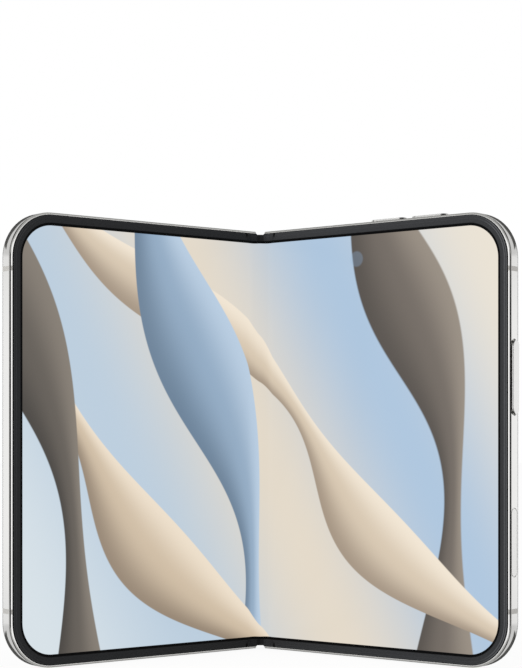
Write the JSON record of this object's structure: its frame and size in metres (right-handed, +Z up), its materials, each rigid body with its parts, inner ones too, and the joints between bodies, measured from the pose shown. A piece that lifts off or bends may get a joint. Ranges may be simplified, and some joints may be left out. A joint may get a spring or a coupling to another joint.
{
  "type": "foldable smartphone",
  "caption": "Book-style foldable phone standing half open: two thin halves on a geared spine, flexible inner screen, sprung side and top buttons",
  "frame": {"origin": "middle of the footprint, on the surface that the phone stands on", "axes": "+Z up along the fold, +X to the half with the buttons, the inner display faces -Y"},
  "size_m": [0.1355, 0.0546, 0.1212],
  "materials": {
    "frame_metal": "polished",
    "antenna_plastic": "satin",
    "bezel_black": "satin",
    "display_glass": "glossy",
    "cover_glass_black": "glossy",
    "back_glass_pale": "satin",
    "steel": "machined",
    "gear_brass": "machined",
    "aluminium_plate": "anodised",
    "battery_black": "matt",
    "board_green": "solder resist",
    "shield_tin": "satin",
    "lens_black": "glossy",
    "module_black": "matt",
    "copper": "enamelled",
    "flash_cream": "frosted",
    "cable_orange": "satin"
  },
  "bodies": {
    "hinge_spine": {"spine_cover": "frame_metal", "spine_end_caps": "bezel_black", "hinge_brackets": "steel", "fold_pins": "steel", "idler_pins": "steel", "friction_discs": "gear_brass", "display_fold_strip": "display_glass", "bezel_fold_strips": "bezel_black", "hinge_flex_cable": "cable_orange"},
    "left_half": {"left_frame": "frame_metal", "left_antenna_bands": "antenna_plastic", "left_midplate": "aluminium_plate", "left_display": "display_glass", "left_bezel": "bezel_black", "left_battery": "battery_black", "left_hinge_arms": "steel", "left_fold_gears": "gear_brass", "left_hinge_screws": "steel", "left_board": "board_green", "left_board_shields": "shield_tin", "earpiece": "module_black", "cover_camera": "module_black", "cover_panel": "module_black", "cover_glass": "cover_glass_black"},
    "right_half": {"right_frame": "frame_metal", "right_antenna_bands": "antenna_plastic", "right_midplate": "aluminium_plate", "right_display": "display_glass", "right_bezel": "bezel_black", "right_battery": "battery_black", "right_hinge_arms": "steel", "right_fold_gears": "gear_brass", "right_hinge_screws": "steel", "main_board": "board_green", "board_shields": "shield_tin", "under_display_camera": "module_black", "button_switches": "steel", "usb_c_shell": "steel", "usb_c_tongue": "module_black", "loudspeaker": "module_black", "vibration_motor": "shield_tin", "charging_coil": "copper", "back_glass": "back_glass_pale", "camera_island": "frame_metal", "camera_modules": "module_black", "lens_rings": "frame_metal", "lens_glasses": "lens_black", "flash_window": "flash_cream"},
    "left_idler": {"left_idler_gears": "gear_brass"},
    "right_idler": {"right_idler_gears": "gear_brass"},
    "power_button": {"power_button": "frame_metal"},
    "capture_button": {"capture_button": "frame_metal"},
    "volume_up_button": {"volume_up_button": "frame_metal"},
    "volume_down_button": {"volume_down_button": "frame_metal"}
  },
  "joints": [
    {"name": "left_fold", "type": "hinge", "parent": "hinge_spine", "child": "left_half", "pos_m": [-0.003, 0.02422, 0.06035], "axis": [0, 0, 1], "range_deg": [-38, 52], "deforming": ["display_fold_strip", "bezel_fold_strips", "hinge_flex_cable"]},
    {"name": "right_fold", "type": "hinge", "parent": "hinge_spine", "child": "right_half", "pos_m": [0.003, 0.02422, 0.06035], "axis": [0, 0, -1], "range_deg": [-38, 52]},
    {"name": "left_idler_spin", "type": "hinge", "parent": "hinge_spine", "child": "left_idler", "pos_m": [-0.001, 0.02422, 0.06035], "axis": [0, 0, 1], "range_deg": [-52, 38]},
    {"name": "right_idler_spin", "type": "hinge", "parent": "hinge_spine", "child": "right_idler", "pos_m": [0.001, 0.02422, 0.06035], "axis": [0, 0, 1], "range_deg": [-38, 52]},
    {"name": "power_press", "type": "slide", "parent": "right_half", "child": "power_button", "axis": [-0.788, 0.6157, 0], "range_m": [0, 0.00025], "stiffness_N_per_m": 1500, "springref_m": -0.0005},
    {"name": "capture_press", "type": "slide", "parent": "right_half", "child": "capture_button", "axis": [-0.788, 0.6157, 0], "range_m": [0, 0.00025], "stiffness_N_per_m": 1500, "springref_m": -0.0005},
    {"name": "volume_up_press", "type": "slide", "parent": "right_half", "child": "volume_up_button", "axis": [0, 0, -1], "range_m": [0, 0.00025], "stiffness_N_per_m": 1500, "springref_m": -0.0005},
    {"name": "volume_down_press", "type": "slide", "parent": "right_half", "child": "volume_down_button", "axis": [0, 0, -1], "range_m": [0, 0.00025], "stiffness_N_per_m": 1500, "springref_m": -0.0005}
  ],
  "couplings": [
    {"joint": "right_fold", "follows": "left_fold", "ratio": 1},
    {"joint": "left_idler_spin", "follows": "left_fold", "ratio": -1},
    {"joint": "right_idler_spin", "follows": "left_fold", "ratio": 1}
  ]
}
